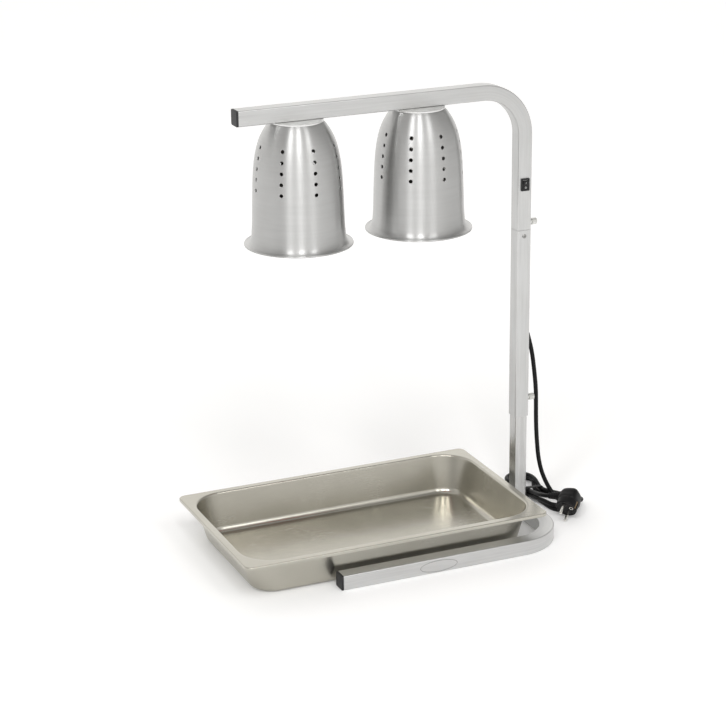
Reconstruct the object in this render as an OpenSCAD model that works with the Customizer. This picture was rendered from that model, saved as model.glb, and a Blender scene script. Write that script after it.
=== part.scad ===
// Heat lamp warmer: two bell shades on a bent square-tube arm, clamped on a
// telescoping column that stands on a U-shaped tube base around a food pan.
// Millimetres. +Z up, base on z = 0, arm along X, column at +X, front is -Y.

/* [Tube frame] */
// Side of the square tube used for base, mast and arm
tube_side = 25; // [20:1:30]
// Wall of the square tube
tube_wall = 1.5; // [1:0.1:3]
// Outside corner radius of the tube section
tube_corner = 2; // [1:0.1:3]
// Centreline radius of the tube bends
bend_r = 75; // [60:1:100]
// X of the column axis
column_x = 265.5; // [200:0.5:320]
// Overall width of the U-shaped base
base_width = 350; // [320:1:420]
// X of the free ends of the base legs, end plugs included
leg_end_x = -136; // [-200:1:0]

/* [Column heights] */
// Top of the inner column
inner_top_z = 242; // [230:1:260]
// Side of the inner column tube
inner_side = 21.8; // [21.5:0.05:22]
// Lower end of the mast tube
mast_low_z = 176; // [150:1:190]
// Joint between mast tube and arm tube
seam_z = 502; // [450:1:540]
// Overall height, top of the arm
arm_top_z = 750; // [680:1:800]
// X of the free end of the arm, end plug included
arm_end_x = -231; // [-260:1:-180]
// Half length of the joiner hidden inside mast and arm
joiner_half = 45; // [30:1:60]

/* [Thumb screws and switch] */
// Height of the lower thumb screw
lower_screw_z = 205; // [195:1:215]
// Height of the upper thumb screw
upper_screw_z = 512; // [508:1:530]
// Diameter of the knurled heads
knob_d = 11.4; // [9:0.2:16]
// How far a knurled head stands out from the tube
knob_out = 15; // [10:0.5:20]
// Height of the rocker switch centre
switch_z = 579.5; // [560:0.5:620]
// Switch bezel width
bezel_w = 15; // [14:0.5:20]
// Switch bezel height
bezel_h = 21; // [20:0.5:26]
// Rocker tilt at rest
rocker_tilt = 8; // [5:1:12]

/* [Heat lamps] */
// X of the left lamp axis
lamp_left_x = -128; // [-150:1:-100]
// X of the right lamp axis
lamp_right_x = 80; // [60:1:110]
// Outside radius of the shade rim
rim_r = 86.5; // [80:0.5:95]
// Height of the rim's lower edge
rim_z = 526.5; // [500:0.5:540]
// Sheet thickness of the shade
shade_t = 1.2; // [0.8:0.1:2]
// Vent hole diameter
vent_d = 6; // [4:0.5:8]
// Vertical pitch of the vent holes
vent_pitch = 16.8; // [14:0.2:20]
// Bulb diameter
bulb_d = 125; // [95:1:125]

/* [Food pan] */
// Rim length
pan_len = 530; // [530:1:530]
// Rim width
pan_wid = 325; // [325:1:325]
// Depth
pan_depth = 65; // [40:5:100]
// X of the pan centre
pan_x = -28; // [-60:1:0]
// Y of the pan centre
pan_y = -5; // [-8:0.5:8]
// Sheet thickness of the pan
pan_t = 0.8; // [0.6:0.1:1.2]
// Outside radius between the pan's floor and walls
pan_fillet = 13; // [10:1:24]
// Plan radius of the pan's inside corners at the rim
pan_corner = 56; // [41:1:64]

/* [Supply cord] */
// Cord diameter
cord_d = 7.4; // [6:0.1:9]
// Height of the cord outlet in the back of the mast
cord_z = 400; // [380:1:410]

/* [Hidden] */
$fn = 48;
half = tube_side / 2;
inner_void = tube_side - 2 * tube_wall;
bar_y = base_width / 2 - half;
arm_axis_z = arm_top_z - half;
arm_low_z = arm_top_z - tube_side;
cap_t = 3.2;
disc_t = 2;
shade_top_z = arm_low_z - disc_t;
hank_h = 15;

// ---------- shared shapes ----------

// square with rounded corners, built from squares and circles so faces stay exact
module round_square(w, h, r) {
  square([w - 2 * r, h], center = true);
  square([w, h - 2 * r], center = true);
  for (sx = [-1, 1], sy = [-1, 1])
    translate([sx * (w / 2 - r), sy * (h / 2 - r)]) circle(r);
}

module tube_section(side = tube_side, wall = tube_wall, r = tube_corner) {
  difference() {
    round_square(side, side, r);
    square(side - 2 * wall, center = true);
  }
}

// straight tube along +X from the origin
module tube_x(len) {
  rotate([90, 0, 90]) linear_extrude(len) tube_section();
}

// quarter bend in the XY plane about the origin, starting at the given angle
module tube_bend(start) {
  rotate([0, 0, start])
    rotate_extrude(angle = 90, $fn = 96) translate([bend_r, 0]) tube_section();
}

// end plug along +X: plate outside, ribbed stem inside a tube that starts at x = 0
module end_plug() {
  difference() {
    rotate([90, 0, 90]) translate([0, 0, -cap_t]) linear_extrude(cap_t)
      round_square(tube_side, tube_side, tube_corner + 0.5);
    rotate([90, 0, 90]) translate([0, 0, -cap_t - 1]) linear_extrude(1.5)
      difference() {
        square(tube_side + 2, center = true);
        round_square(tube_side - 1.2, tube_side - 1.2, tube_corner);
      }
  }
  difference() {
    translate([0, -(inner_void - 0.6) / 2, -(inner_void - 0.6) / 2])
      cube([13, inner_void - 0.6, inner_void - 0.6]);
    translate([-0.01, -8, -8]) cube([14, 16, 16]);
  }
  for (x = [3, 7, 11])
    translate([x, 0, 0]) rotate([90, 0, 90]) linear_extrude(1)
      difference() {
        square(inner_void, center = true);
        square(inner_void - 1, center = true);
      }
}

// ---------- base ----------

module base_frame() {
  color("silver") {
    for (s = [-1, 1])
      translate([leg_end_x + cap_t, s * bar_y, half])
        tube_x(column_x - bend_r - leg_end_x - cap_t);
    translate([column_x - bend_r, bar_y - bend_r, half]) tube_bend(0);
    translate([column_x - bend_r, bend_r - bar_y, half]) tube_bend(-90);
    translate([column_x, bend_r - bar_y, half]) rotate([0, 0, 90]) tube_x(2 * (bar_y - bend_r));
  }
}

module leg_cap(s) {
  color("black") translate([leg_end_x + cap_t, s * bar_y, half]) end_plug();
}

module leg_cap_front() { leg_cap(-1); }
module leg_cap_rear() { leg_cap(1); }

module inner_column() {
  color("silver") translate([column_x, 0, tube_side]) {
    linear_extrude(inner_top_z - tube_side) tube_section(inner_side, 1.5, 1.5);
    // weld bead round the foot
    linear_extrude(1.2) difference() {
      round_square(inner_side + 2, inner_side + 2, 1.6);
      square(inner_side - 4, center = true);
    }
  }
}

// ---------- mast ----------

// threaded hole from the tube's +X face into the void
module side_hole(z, r) {
  translate([column_x + half - 4, 0, z]) rotate([0, 90, 0]) cylinder(h = 8, r = r);
}

module front_hole(z, r) {
  translate([column_x, -half + 5, z]) rotate([90, 0, 0]) cylinder(h = 10, r = r);
}

module mast_tube() {
  color("silver") difference() {
    translate([column_x, 0, mast_low_z]) linear_extrude(seam_z - mast_low_z) tube_section();
    side_hole(lower_screw_z, 3.4);
    translate([column_x, half + 5, cord_z]) rotate([90, 0, 0]) cylinder(h = 10, r = 4.6);
    front_hole(seam_z - 10, 2.15);
  }
}

module joiner_sleeve() {
  color("gray") difference() {
    translate([column_x, 0, seam_z - joiner_half])
      linear_extrude(2 * joiner_half) tube_section(21.9, 2, 1);
    front_hole(seam_z - 10, 1.9);
  }
}

module joiner_screw() {
  color("dimgray") translate([column_x, -half, seam_z - 10]) rotate([90, 0, 0]) {
    difference() {
      union() {
        translate([0, 0, 0]) cylinder(h = 0.9, r = 3.5);
        translate([0, 0, 0.9]) cylinder(h = 0.7, r1 = 3.5, r2 = 2.6);
        translate([0, 0, -6]) cylinder(h = 6, r = 1.9);
      }
      translate([-2.2, -0.4, 0.5]) cube([4.4, 0.8, 2]);
      translate([-0.4, -2.2, 0.5]) cube([0.8, 4.4, 2]);
    }
  }
}

// weld boss the thumb screw runs through
module boss(z) {
  color("silver") translate([column_x + half, 0, z]) rotate([0, 90, 0]) difference() {
    cylinder(h = 4, r = 5);
    translate([0, 0, -1]) cylinder(h = 6, r = 3.05);
  }
}

// shank, neck and knurled head along +X; tip bears on the tube inside
module thumb_screw(z, tip_x) {
  color("lightgray") translate([tip_x, 0, z]) rotate([0, 90, 0]) {
    cylinder(h = column_x + half + 4.3 - tip_x, r = 3);
    translate([0, 0, column_x + half + 4.2 - tip_x]) cylinder(h = 2.5, r = 4);
    translate([0, 0, column_x + half + 6.4 - tip_x]) {
      difference() {
        linear_extrude(knob_out - 6.4) difference() {
          circle(knob_d / 2);
          for (a = [0:15:345]) rotate(a) translate([knob_d / 2 + 0.15, 0]) circle(0.5);
        }
        translate([0, 0, knob_out - 6.8]) cylinder(h = 1, r1 = 3.4, r2 = 4.2);
      }
    }
  }
}

module lower_boss() { boss(lower_screw_z); }
module upper_boss() { boss(upper_screw_z); }
module lower_thumb_screw() { thumb_screw(lower_screw_z, column_x + inner_side / 2); }
module upper_thumb_screw() { thumb_screw(upper_screw_z, column_x + 10.95); }

// ---------- arm ----------

module arm_tube() {
  color("silver") difference() {
    union() {
      translate([column_x, 0, seam_z])
        linear_extrude(arm_axis_z - bend_r - seam_z) tube_section();
      translate([column_x - bend_r, 0, arm_axis_z - bend_r]) rotate([90, 0, 0]) tube_bend(0);
      translate([arm_end_x + cap_t, 0, arm_axis_z])
        tube_x(column_x - bend_r - arm_end_x - cap_t);
    }
    side_hole(upper_screw_z, 3.4);
    translate([column_x - 6.6, -half - 1, switch_z - 9.6]) cube([13.2, tube_wall + 2, 19.2]);
    for (x = [lamp_left_x, lamp_right_x])
      translate([x, 0, arm_low_z - 1]) cylinder(h = tube_wall + 2, r = 5.1);
  }
}

module arm_cap() {
  color("black") translate([arm_end_x + cap_t, 0, arm_axis_z]) end_plug();
}

// ---------- switch ----------

module switch_housing() {
  color("black") difference() {
    union() {
      translate([column_x, -half, switch_z]) rotate([90, 0, 0]) linear_extrude(2)
        round_square(bezel_w, bezel_h, 1.2);
      translate([column_x - 6.5, -half, switch_z - 9.4]) cube([13, 14, 18.8]);
    }
    translate([column_x - 5, -half - 3, switch_z - 8.3]) cube([10, 7, 16.6]);
    translate([column_x - 6, rocker_pivot_y, switch_z]) rotate([0, 90, 0]) cylinder(h = 12, r = 1.05);
  }
}

rocker_pivot_y = -half + 1;

module rocker_place() {
  translate([column_x, rocker_pivot_y, switch_z]) rotate([rocker_tilt, 0, 0]) children();
}

// rocker with a pivot pin, the marks let into its faces
module switch_rocker() {
  color("black") rocker_place() difference() {
    union() {
      translate([-4.75, 0, 0]) rotate([90, 0, 90]) linear_extrude(9.5)
        polygon([[-5.2, -7.4], [-3.9, 0], [-5.2, 7.4], [1.5, 6.9], [1.5, -6.9]]);
      translate([-5.8, 0, 0]) rotate([0, 90, 0]) cylinder(h = 11.6, r = 1);
    }
    mark_shapes();
  }
}

// generic on and off marks on the rocker faces
module mark_shapes() {
  translate([0, -4.45, 4]) rotate([99.96, 0, 0])
    translate([-0.4, -1.5, -0.15]) cube([0.8, 3, 0.45]);
  translate([0, -4.45, -4]) rotate([80.04, 0, 0]) translate([0, 0, -0.15])
    linear_extrude(0.45) difference() {
      circle(1.6, $fn = 24);
      circle(0.95, $fn = 24);
    }
}

module rocker_marks() {
  color("lightgray") rocker_place() mark_shapes();
}

module switch_terminals() {
  color("gold") for (x = [-3, 3])
    translate([column_x + x - 0.4, 1.5, switch_z - 2.4]) cube([0.8, 7.5, 4.8]);
}

// ---------- heat lamps ----------

// outside of the bell from the rim up: [radius, height]
function arc_pts(cx, cz, r, a0, a1, n) =
  [for (i = [0:n]) let (a = a0 + (a1 - a0) * i / n) [cx + r * cos(a), cz + r * sin(a)]];

function bell(t) = concat(
  [[rim_r - t * 0, rim_z + 2.6]],
  arc_pts(rim_r - 4.6, rim_z + 9.2, 7.6 + t * 0, 270, 190, 5),
  [[74.1, rim_z + 16], [73.2, rim_z + 32], [72.4, rim_z + 57], [71.3, rim_z + 88],
   [70.3, rim_z + 108], [69.0, rim_z + 124], [67.2, rim_z + 138], [64.9, rim_z + 150],
   [62.0, rim_z + 161], [58.4, rim_z + 171], [54.2, rim_z + 179.5], [49.6, rim_z + 187],
   [45.4, rim_z + 192.6], [42.6, rim_z + 195.3], [40.2, shade_top_z]]);

function inset(p, t) = [for (q = p) [q[0] - t, min(q[1] - (q[1] > rim_z + 150
  ? t * (q[1] - rim_z - 150) / 46.5 : 0), shade_top_z - t)]];

module bell_profile() {
  o = bell(0);
  n = len(o);
  i = inset([for (k = [6:n - 1]) o[k]], shade_t);
  difference() {
    polygon(concat([[0, shade_top_z], [0, rim_z + 1.4]], [[rim_r, rim_z + 1.4]], o));
    polygon(concat([[-1, shade_top_z - shade_t], [-1, rim_z - 1], [73.7, rim_z - 1],
      [73.7, rim_z + 8]], i));
  }
  // turned-down lip
  translate([rim_r - shade_t, rim_z]) square([shade_t, 2]);
}

module shade(x, turn) {
  color("silver") translate([x, 0, 0]) difference() {
    rotate_extrude($fn = 96) bell_profile();
    translate([0, 0, shade_top_z - 4]) cylinder(h = 8, r = 5.1);
    for (a = [0:45:315], k = [0:4])
      rotate([0, 0, a + turn]) translate([52, 0, rim_z + 94.2 + k * vent_pitch])
        rotate([0, 90, 0]) cylinder(h = 25, r = vent_d / 2, $fn = 24);
  }
}

module shade_left() { shade(lamp_left_x, 2); }
module shade_right() { shade(lamp_right_x, 10); }

module mounting_disc(x) {
  color("silver") translate([x, 0, shade_top_z]) difference() {
    cylinder(h = disc_t, r = 42, $fn = 96);
    translate([0, 0, -1]) cylinder(h = disc_t + 2, r = 5.1);
    // lead slot at the edge
    translate([-43, -1.5, -1]) cube([6, 3, disc_t + 2]);
  }
}

module mounting_disc_left() { mounting_disc(lamp_left_x); }
module mounting_disc_right() { mounting_disc(lamp_right_x); }

module nipple(x) {
  color("gold") translate([x, 0, 0]) difference() {
    translate([0, 0, 712]) cylinder(h = 22, r = 4.9);
    translate([0, 0, 711]) cylinder(h = 24, r = 3.4);
  }
}

module nipple_left() { nipple(lamp_left_x); }
module nipple_right() { nipple(lamp_right_x); }

// four identical thin hexagon nuts
module nipple_nuts() {
  color("gold") for (x = [lamp_left_x, lamp_right_x], z = [shade_top_z - shade_t - 2.6, arm_low_z + tube_wall])
    translate([x, 0, z]) linear_extrude(2.6) difference() {
      polygon([for (a = [0:60:300]) [8 * cos(a), 8 * sin(a)]]);
      circle(4.95);
    }
}

module lampholder(x) {
  color("white") translate([x, 0, 0]) difference() {
    rotate_extrude() polygon([[0, 719.1], [13, 719.1], [17, 717], [19, 713], [19.6, 706],
      [23.2, 703], [23.6, 700], [23.6, 684], [22, 683], [0, 683]]);
    translate([0, 0, 682]) cylinder(h = 27, r = 13.5);
    translate([0, 0, 700]) cylinder(h = 30, r = 4.95);
    translate([0, 0, 714.5]) cylinder(h = 8, r = 9.6);
  }
}

module lampholder_left() { lampholder(lamp_left_x); }
module lampholder_right() { lampholder(lamp_right_x); }

function glass_pts(d) = [[12.3 - d, 688], [12.3 - d, 682.2], [16.2 - d, 680.6], [16.6 - d, 675], [18.4 - d, 668], [22.6 - d, 659],
  [28.5 - d, 649], [35 - d, 638], [42 - d, 624], [48.6 - d, 609], [54.4 - d, 594],
  [59 - d, 580], [61.8 - d, 567], [bulb_d / 2 - d, 557], [61.4 - d, 548], [58 - d, 541 + d * 0.6],
  [50 - d, 536.5 + d], [38 - d, 534 + d], [20, 532.6 + d], [0, 532 + d]];

module bulb_glass(x) {
  color("firebrick") translate([x, 0, 0]) rotate_extrude($fn = 64) difference() {
    polygon(concat([[0, 688]], glass_pts(0)));
    polygon(concat([[0, 689], [11.2, 689]], glass_pts(1.1)));
  }
}

module bulb_glass_left() { bulb_glass(lamp_left_x); }
module bulb_glass_right() { bulb_glass(lamp_right_x); }

// screw cap of the bulb with its centre contact
module bulb_cap(x) {
  color("gold") translate([x, 0, 0]) rotate_extrude() difference() {
    polygon([[0, 707.5], [4.5, 707.5], [5, 705.5], [9, 704.5], [13, 701.5], [13.2, 684], [0, 684]]);
    polygon([[0, 683], [12.4, 683], [12.4, 700.8], [8.6, 703.4], [0, 704.6]]);
  }
}

module bulb_cap_left() { bulb_cap(lamp_left_x); }
module bulb_cap_right() { bulb_cap(lamp_right_x); }

// insulated leads lying in the arm, from the switch end to both lampholders
module lamp_leads() {
  color("tan") {
    for (y = [-5.5, 5.5]) {
      translate([lamp_left_x, y, arm_axis_z + 4]) rotate([0, 90, 0])
        cylinder(h = column_x - bend_r - lamp_left_x, r = 1.6, $fn = 16);
      translate([column_x - bend_r, y, arm_axis_z - bend_r]) rotate([90, 0, 0])
        rotate_extrude(angle = 90, $fn = 48) translate([bend_r + 4, 0]) circle(1.6, $fn = 16);
      translate([column_x + 4, y, switch_z + 18])
        cylinder(h = arm_axis_z - bend_r - switch_z - 18, r = 1.6, $fn = 16);
    }
  }
}

// ---------- food pan ----------

// wall section: x = distance outside the corner centre less (pan_corner - 40), y = height
module pan_wall_section() {
  // the floor curves up into the wall, which leans out by 14.5 degrees
  curve = [for (i = [0:6]) let (a = -90 + 75.5 * i / 6) [cos(a), sin(a)]];
  at = [12.6, pan_fillet];
  o = concat([[-40, 0]], [for (c = curve) at + pan_fillet * c],
    [[40.2 - 0.4, pan_depth - 2.2], [41.4, pan_depth - pan_t], [41.4, pan_depth]]);
  n = concat([[-40, pan_t]], [for (c = curve) at + (pan_fillet - pan_t) * c],
    [[40.2 - 0.4 - pan_t, pan_depth - 1.8], [40.4, pan_depth]]);
  difference() {
    polygon(concat(o, [[-40, pan_depth]]));
    polygon(concat(n, [[40.4, pan_depth + 1], [-41, pan_depth + 1], [-41, pan_t]]));
  }
}

module food_pan() {
  color("silver") translate([pan_x, pan_y, 0]) {
    // middles of the corner arcs
    cx = 252.5 - pan_corner;
    cy = 149.5 - pan_corner;
    for (s = [0, 180]) rotate([0, 0, s]) {
      // long and short walls, each with its strip of floor
      translate([-cx, cy, 0]) rotate([90, 0, 90]) linear_extrude(2 * cx) pan_wall_section_in();
      translate([cx, -cy, 0]) rotate([90, 0, 0]) mirror([0, 0, 1])
        linear_extrude(2 * cy) pan_wall_section_in();
      for (q = [0, 1]) translate([q == 0 ? cx : -cx, cy, 0]) rotate([0, 0, q * 90])
        rotate_extrude(angle = 90, $fn = 96) pan_wall_section_in();
    }
    // floor
    translate([-cx, -cy, 0]) cube([2 * cx, 2 * cy, pan_t]);
    // rim plate and turned-down edge
    translate([0, 0, pan_depth - pan_t]) linear_extrude(pan_t) difference() {
      round_square(pan_len, pan_wid, 12);
      round_square(2 * (cx + pan_corner + 0.4), 2 * (cy + pan_corner + 0.4), pan_corner + 0.4);
    }
    translate([0, 0, pan_depth - 5.5]) linear_extrude(5.5 - pan_t / 2) difference() {
      round_square(pan_len, pan_wid, 12);
      round_square(pan_len - 2 * pan_t, pan_wid - 2 * pan_t, 12 - pan_t);
    }
  }
}

// the wall section limited to positive radii
module pan_wall_section_in() {
  intersection() {
    translate([pan_corner - 40, 0]) pan_wall_section();
    square([90, pan_depth + 1]);
  }
}

// ---------- supply cord ----------

// angled strain relief: flange on the back of the mast, ball elbow, tapered sleeve pointing down
module strain_relief() {
  color("black") translate([column_x, half, cord_z]) {
    rotate([-90, 0, 0]) cylinder(h = 1.6, r = 6.4);
    translate([0, -3.5, 0]) rotate([-90, 0, 0]) cylinder(h = 4, r = 4.5);
    rotate([-90, 0, 0]) cylinder(h = 6.6, r = 4.9);
    translate([0, 6.6, 0]) {
      sphere(r = 5.6);
      rotate([0, 168, 0]) cylinder(h = 29, r1 = 5.1, r2 = 4.1);
    }
  }
}

cord_knots = [
  [271.63, 19.1, 371.2], [275.5, 18.9, 355], [282.5, 18.1, 334], [289, 17, 314], [294, 16, 295],
  [297.4, 14, 276.6], [299.2, 12, 259], [300.4, 9, 238.6], [301.6, 6.5, 214.5], [301.4, 4.5, 190.5],
  [301.3, 3.5, 166], [301.5, 2, 141.5], [303, 1, 116.6], [305.8, 0.5, 91], [311.6, 0, 66],
  [318.4, -2.2, 47], [324.2, -6.5, 33.5], [328, -11.5, 23], [328, -11.5, hank_h + 0.05]];

function unit(v) = v / norm(v);
function knot_dir(k) = unit(cord_knots[min(k + 1, len(cord_knots) - 1)] - cord_knots[max(k - 1, 0)]);
function side_vec(t) = unit(cross([0, 1, 0], t));

module cord_drop() {
  sides = 10;
  rings = len(cord_knots);
  pts = [for (k = [0:rings - 1]) let (t = knot_dir(k), u = side_vec(t), v = cross(t, u))
    for (j = [0:sides - 1]) cord_knots[k]
      + cord_d / 2 * (cos(360 * j / sides) * u + sin(360 * j / sides) * v)];
  faces = concat(
    [[for (j = [0:sides - 1]) sides - 1 - j]],
    [[for (j = [0:sides - 1]) (rings - 1) * sides + j]],
    [for (k = [0:rings - 2], j = [0:sides - 1])
      [k * sides + j, k * sides + (j + 1) % sides, (k + 1) * sides + (j + 1) % sides]],
    [for (k = [0:rings - 2], j = [0:sides - 1])
      [k * sides + j, (k + 1) * sides + (j + 1) % sides, (k + 1) * sides + j]]);
  color("black") polyhedron(points = pts, faces = [for (f = faces) [for (i = [len(f) - 1:-1:0]) f[i]]]);
}

module hank_middle() {
  polygon([[291, 94], [304, 64], [306, 30], [316, -19], [377, -8], [352, 34], [347, 60], [353, 94]]);
}

// folded, tied bundle lying on the table behind the column; its last loop lies on top
module cord_hank() {
  color("black") union() {
    linear_extrude(hank_h) {
      hank_middle();
      translate([322, 96]) circle(31);
      translate([348, -17]) circle(30.5);
    }
    linear_extrude(hank_h + 7) translate([315.5, 86]) circle(27.3);
  }
}

module cord_tie() {
  color("black") difference() {
    translate([303, 44, 0]) cube([49, 9, hank_h + 2]);
    translate([0, 0, -1]) linear_extrude(hank_h + 1) hank_middle();
  }
}

// ---------- mains plug ----------

module plug_place() {
  translate([322.3, -70.1, 19.6]) rotate([-119.43, 12.78, 124.52]) children();
}

module plug_body() {
  color("black") plug_place() difference() {
    union() {
      translate([0, 0, -12]) cylinder(h = 12, r = 18.5, $fn = 64);
      translate([0, 0, -29]) cylinder(h = 17.5, r1 = 16.8, r2 = 18.2, $fn = 64);
      translate([0, 0, -38]) cylinder(h = 9.2, r1 = 11.5, r2 = 16.8, $fn = 64);
      translate([10, 0, -30]) rotate([0, 90, 0]) cylinder(h = 34, r1 = 8, r2 = 5);
    }
    // earth contact channels and the earth pin hole
    for (s = [-1, 1]) translate([s * 18.5 - 2.5, -3, -16]) cube([5, 6, 17]);
    translate([-10, 0, -14]) cylinder(h = 15, r = 2.4);
    for (s = [-1, 1]) translate([0, s * 9.5, -6]) cylinder(h = 7, r = 2.4, $fn = 24);
  }
}

module plug_pins() {
  color("silver") plug_place() for (s = [-1, 1]) translate([0, s * 9.5, 0]) {
    translate([0, 0, -6]) cylinder(h = 24, r = 2.4, $fn = 24);
    translate([0, 0, 18]) cylinder(h = 1, r1 = 2.4, r2 = 1.6, $fn = 24);
  }
}

module plug_earth_clips() {
  color("gold") plug_place() for (s = [-1, 1])
    translate([s * 16.4 - 0.4, -2, -15.9]) cube([0.8, 4, 15]);
}

base_frame();
leg_cap_front();
leg_cap_rear();
inner_column();
mast_tube();
joiner_sleeve();
joiner_screw();
lower_boss();
lower_thumb_screw();
upper_boss();
upper_thumb_screw();
arm_tube();
arm_cap();
switch_housing();
switch_rocker();
rocker_marks();
switch_terminals();
mounting_disc_left();
mounting_disc_right();
shade_left();
shade_right();
nipple_left();
nipple_right();
nipple_nuts();
lampholder_left();
lampholder_right();
bulb_glass_left();
bulb_glass_right();
bulb_cap_left();
bulb_cap_right();
lamp_leads();
strain_relief();
cord_drop();
cord_hank();
cord_tie();
plug_body();
plug_pins();
plug_earth_clips();
food_pan();
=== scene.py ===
import math

import bmesh
import bpy
import numpy as np
from mathutils import Matrix, Vector


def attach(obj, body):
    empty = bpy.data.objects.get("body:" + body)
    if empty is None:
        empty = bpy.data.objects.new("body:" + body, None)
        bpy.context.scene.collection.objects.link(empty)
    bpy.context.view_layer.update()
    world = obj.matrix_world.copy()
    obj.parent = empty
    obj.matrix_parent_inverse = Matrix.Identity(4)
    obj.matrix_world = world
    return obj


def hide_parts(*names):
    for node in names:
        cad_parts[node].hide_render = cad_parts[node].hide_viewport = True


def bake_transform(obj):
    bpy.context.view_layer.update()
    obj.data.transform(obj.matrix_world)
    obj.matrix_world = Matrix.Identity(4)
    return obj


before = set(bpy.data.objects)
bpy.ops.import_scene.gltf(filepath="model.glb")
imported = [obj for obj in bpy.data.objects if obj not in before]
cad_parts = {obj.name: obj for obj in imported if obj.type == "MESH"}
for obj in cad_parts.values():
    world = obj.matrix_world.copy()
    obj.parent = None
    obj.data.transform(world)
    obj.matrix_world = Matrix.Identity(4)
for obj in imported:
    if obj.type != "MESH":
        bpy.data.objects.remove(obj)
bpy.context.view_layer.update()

MM = 0.001
scene = bpy.context.scene


# ------------------------------------------------------------------ camera
VIEW_AZ, VIEW_EL, VIEW_ROLL = -23.5, 19.17, -0.59      # degrees
VIEW_TARGET = Vector((-0.0521, 0, 0.3))
VIEW_RIGHT, VIEW_UP, VIEW_DISTANCE = 0.0293, 0.01421, 3.6528
SENSOR_MM, LENS_MM = 36, 111.76


def axes(az, el, roll):
    """The camera's right, up and backward directions."""
    a, e, r = math.radians(az), math.radians(el), math.radians(roll)
    back = Vector((math.sin(a) * math.cos(e), -math.cos(a) * math.cos(e), math.sin(e)))
    right = Vector((math.cos(a), math.sin(a), 0))
    up = back.cross(right)
    return (right * math.cos(r) + up * math.sin(r), up * math.cos(r) - right * math.sin(r), back)


right, up, back = axes(VIEW_AZ, VIEW_EL, VIEW_ROLL)
cam_data = bpy.data.cameras.new("camera")
cam_data.sensor_width = SENSOR_MM
cam_data.lens = LENS_MM
cam_data.clip_end = 60
cam = bpy.data.objects.new("camera", cam_data)
scene.collection.objects.link(cam)
eye = VIEW_TARGET + right * VIEW_RIGHT + up * VIEW_UP + back * VIEW_DISTANCE
cam.matrix_world = Matrix.Translation(eye) @ Matrix((right, up, back)).transposed().to_4x4()
scene.camera = cam

# ------------------------------------------------------------------ sizes, metres
COL = 0.2655           # column axis
SIDE = 0.025           # side of the square tube
HALF = SIDE / 2
BEND = 0.075           # centreline radius of the tube bends
BAR_Y = 0.1625         # leg axis
LEG_X = -0.1328        # open end of the legs, inside their plugs
ARM_X = -0.2278        # open end of the arm, inside its plug
ARM_Z = 0.7375         # arm axis
SEAM = 0.502           # where the arm's tube stands on the mast's
SEAM_GAP = 0.0003      # from the seam to each tube's end
MAST_LOW = 0.176       # lower end of the mast
OUTLET_Z = 0.400       # cord outlet on the back of the mast
RIM_Z = 0.5265         # lower edge of the shades
LAMPS = {"left": (-0.128, 2), "right": (0.080, 10)}    # lamp axis, turn of the hole columns in degrees

X, Y, Z = Vector((1, 0, 0)), Vector((0, 1, 0)), Vector((0, 0, 1))


# ------------------------------------------------------------------ mesh helpers
def make(name, verts, faces, body, mat, smooth=True, weighted=True):
    """A mesh piece that rides on body, or on nothing yet if body is None."""
    me = bpy.data.meshes.new(name)
    me.from_pydata([tuple(v) for v in verts], [], faces)
    me.validate()
    me.update()
    ob = bpy.data.objects.new(name, me)
    scene.collection.objects.link(ob)
    me.materials.append(mat)
    if smooth:
        me.polygons.foreach_set("use_smooth", [True] * len(me.polygons))
        if weighted:
            m = ob.modifiers.new("normals", "WEIGHTED_NORMAL")
            m.keep_sharp = True
    if body:
        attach(ob, body)
    return ob


def recalc(ob):
    """Turns every face of a closed mesh outwards."""
    bm = bmesh.new()
    bm.from_mesh(ob.data)
    bmesh.ops.recalc_face_normals(bm, faces=bm.faces)
    bm.to_mesh(ob.data)
    bm.free()


def grid_faces(rows, cols, close_rows=False, base=0):
    """Faces between closed rows of cols vertices each, counted from base."""
    out = []
    for i in range(rows if close_rows else rows - 1):
        a, b = base + i * cols, base + (i + 1) % rows * cols
        for j in range(cols):
            k = (j + 1) % cols
            out.append((a + j, a + k, b + k, b + j))
    return out


def end_caps(rows, cols):
    """The two faces that close the first and the last row of a grid."""
    return [tuple(reversed(range(cols))), tuple(range((rows - 1) * cols, rows * cols))]


def rounded(w, r, seg=6):
    """Points of a square of side w with corner radius r."""
    pts = []
    h = w / 2 - r
    for k, (sx, sy) in enumerate(((1, 1), (-1, 1), (-1, -1), (1, -1))):
        for i in range(seg + 1):
            a = math.pi / 2 * (k + i / seg)
            pts.append((sx * h + r * math.cos(a), sy * h + r * math.sin(a)))
    return pts


def catmull(pts, step):
    """Points about step apart on a smooth curve through pts."""
    p = [Vector(q) for q in pts]
    p = [p[0] * 2 - p[1]] + p + [p[-1] * 2 - p[-2]]
    out = []
    for i in range(1, len(p) - 2):
        a, b, c, d = p[i - 1:i + 3]
        ta = max((b - a).length ** 0.5, 1e-6)
        tb = max((c - b).length ** 0.5, 1e-6)
        tc = max((d - c).length ** 0.5, 1e-6)
        m1 = (b - a) / ta - (c - a) / (ta + tb) + (c - b) / tb
        m2 = (c - b) / tb - (d - b) / (tb + tc) + (d - c) / tc
        m1, m2 = m1 * tb, m2 * tb
        n = max(2, int(round((c - b).length / step)))
        for k in range(n):
            t = k / n
            out.append((2 * t ** 3 - 3 * t ** 2 + 1) * b + (t ** 3 - 2 * t ** 2 + t) * m1
                       + (3 * t ** 2 - 2 * t ** 3) * c + (t ** 3 - t ** 2) * m2)
    out.append(p[-2])
    return out


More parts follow.
